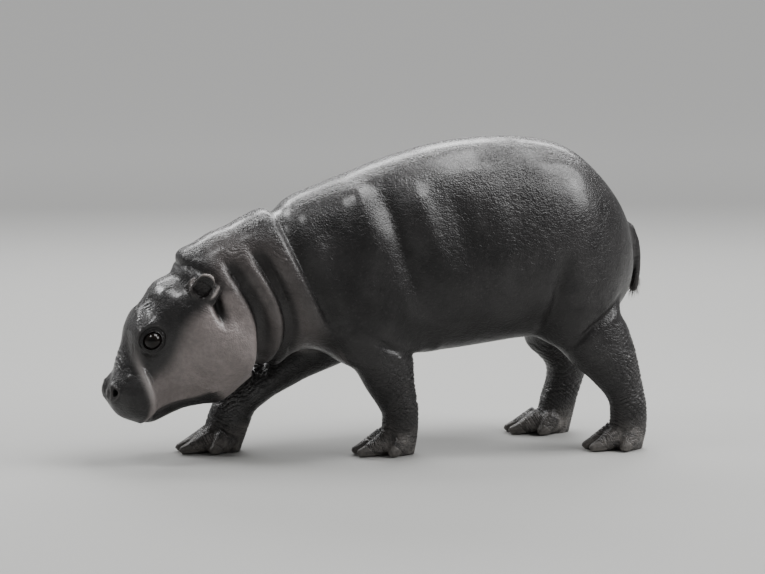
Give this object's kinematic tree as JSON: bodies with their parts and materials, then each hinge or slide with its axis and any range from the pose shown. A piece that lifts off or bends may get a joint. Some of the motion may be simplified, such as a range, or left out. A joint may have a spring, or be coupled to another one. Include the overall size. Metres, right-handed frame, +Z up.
{
  "type": "pygmy hippopotamus calf",
  "caption": "Still, life-size model of a young pygmy hippopotamus walking with its head lowered, standing on its own feet.",
  "frame": {"origin": "middle of the footprint box, on the floor that the soles stand on", "axes": "+Z up; the nose points to -X, the tail to +X; the animal's left side faces -Y"},
  "size_m": [0.884, 0.2864, 0.5002],
  "materials": {
    "hide": "moist, finely pebbled dark slate-brown hide, paler and slightly pink on the cheeks, throat and belly",
    "eye": "wet, glossy, very dark brown",
    "hoof_horn": "dull grey-brown horn, paler towards the ground edge",
    "bristle": "sparse dark bristles on the lips, ears and tail tip",
    "mouth": "moist dark pinkish grey lining of the lips, nostrils and eyelids"
  },
  "bodies": {
    "root": {"head": "hide", "lower_jaw": "hide", "neck": "hide", "trunk": "hide", "tail": "hide", "ear_left": "hide", "ear_right": "hide", "eye_left": "eye", "eye_right": "eye", "foreleg_left": "hide", "forefoot_left": "hide", "hoof_fore_left_inner": "hoof_horn", "hoof_fore_left_second": "hoof_horn", "hoof_fore_left_third": "hoof_horn", "hoof_fore_left_outer": "hoof_horn", "foreleg_right": "hide", "forefoot_right": "hide", "hoof_fore_right_inner": "hoof_horn", "hoof_fore_right_second": "hoof_horn", "hoof_fore_right_third": "hoof_horn", "hoof_fore_right_outer": "hoof_horn", "hindleg_left": "hide", "hindfoot_left": "hide", "hoof_hind_left_inner": "hoof_horn", "hoof_hind_left_second": "hoof_horn", "hoof_hind_left_third": "hoof_horn", "hoof_hind_left_outer": "hoof_horn", "hindleg_right": "hide", "hindfoot_right": "hide", "hoof_hind_right_inner": "hoof_horn", "hoof_hind_right_second": "hoof_horn", "hoof_hind_right_third": "hoof_horn", "hoof_hind_right_outer": "hoof_horn"}
  },
  "joints": []
}
